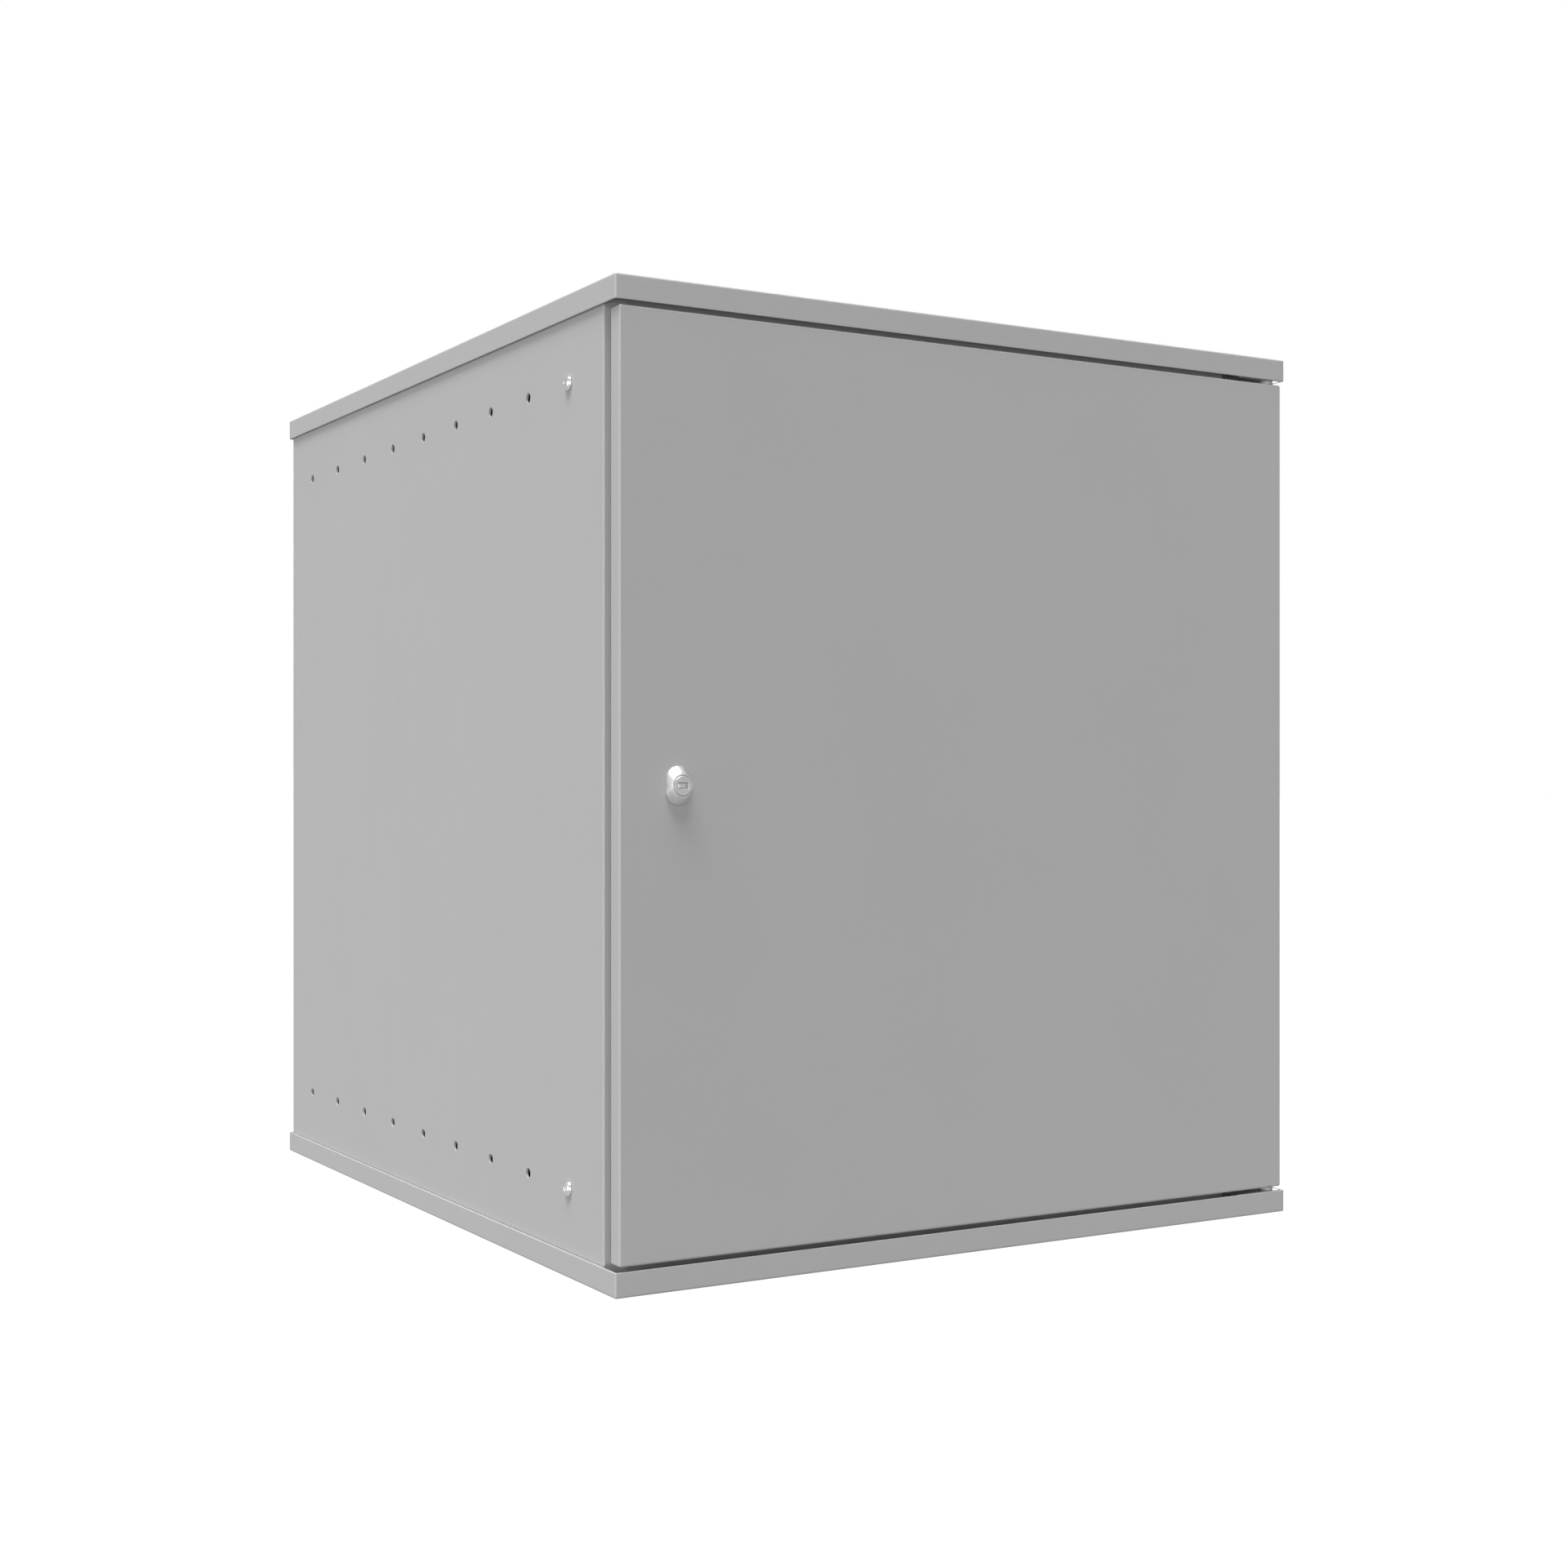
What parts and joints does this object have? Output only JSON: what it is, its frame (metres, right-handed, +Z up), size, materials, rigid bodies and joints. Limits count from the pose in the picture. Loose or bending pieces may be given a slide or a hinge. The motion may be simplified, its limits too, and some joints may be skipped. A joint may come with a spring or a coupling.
{
  "type": "wall cabinet",
  "caption": "Closed sheet-steel wall cabinet for 19-inch electrical equipment, with top and bottom caps, a full front door, a small lock, and rows of rail fixing holes in its sides.",
  "frame": {"origin": "middle of the base face of the bottom cap", "axes": "+Z up, the door faces -Y, +X to the right as seen from the front"},
  "size_m": [0.5274, 0.606, 0.6],
  "materials": {
    "paint": "light grey powder coat, fine texture, satin",
    "zinc_sheet": "zinc-plated sheet steel",
    "zinc_fastener": "zinc-plated fasteners",
    "bright_screw": "bright nickel-plated screw",
    "lock_metal": "satin nickel-plated zinc casting",
    "spring_steel": "spring wire",
    "bush_plastic": "natural nylon",
    "foam": "black foam seal"
  },
  "bodies": {
    "cabinet": {"bottom_cap": "paint", "bottom_cap_nuts": "zinc_fastener", "bottom_cap_studs": "zinc_fastener", "cabinet_earth_nut": "zinc_fastener", "cabinet_earth_stud": "zinc_fastener", "cabinet_earth_washer": "zinc_fastener", "front_frame": "paint", "gland_nuts": "zinc_fastener", "gland_plate": "zinc_sheet", "gland_seal": "foam", "gland_studs": "zinc_fastener", "left_rail": "zinc_sheet", "left_side_panel": "paint", "lower_hinge_bracket": "zinc_sheet", "lower_hinge_bush": "bush_plastic", "lower_wall_bar": "zinc_sheet", "rail_nuts": "zinc_fastener", "rail_screws": "bright_screw", "rear_panel": "paint", "rear_panel_nuts": "zinc_fastener", "rear_panel_screws": "zinc_fastener", "right_rail": "zinc_sheet", "right_side_panel": "paint", "top_cap": "paint", "top_cap_nuts": "zinc_fastener", "top_cap_studs": "zinc_fastener", "upper_hinge_bracket": "zinc_sheet", "upper_hinge_bush": "bush_plastic", "upper_wall_bar": "zinc_sheet"},
    "door": {"door_panel": "paint", "door_stiffener": "zinc_sheet", "door_gasket": "foam", "pin_guide": "zinc_sheet", "lower_hinge_block": "zinc_sheet", "lower_hinge_pin": "zinc_fastener", "hinge_pin_spring": "spring_steel", "lock_housing": "lock_metal", "lock_nut": "lock_metal", "door_earth_stud": "zinc_fastener", "door_earth_washer": "zinc_fastener", "door_earth_nut": "zinc_fastener"},
    "hinge_pin": {"upper_hinge_pin": "zinc_fastener", "hinge_pin_clip": "zinc_fastener"},
    "lock": {"lock_plug": "lock_metal", "lock_cam": "zinc_sheet", "cam_washer": "zinc_fastener", "cam_screw": "zinc_fastener"}
  },
  "joints": [
    {"name": "door_hinge", "type": "hinge", "parent": "cabinet", "child": "door", "pos_m": [0.252, -0.293, 0.3], "axis": [0, 0, 1], "range_deg": [0, 110]},
    {"name": "lock_turn", "type": "hinge", "parent": "door", "child": "lock", "pos_m": [-0.221, -0.29, 0.3], "axis": [0, 1, 0], "range_deg": [0, 90]},
    {"name": "pin_slide", "type": "slide", "parent": "door", "child": "hinge_pin", "axis": [0, 0, -1], "range_m": [0, 0.0085], "stiffness_N_per_m": 300, "springref_m": -0.004, "deforming": ["hinge_pin_spring"]}
  ]
}
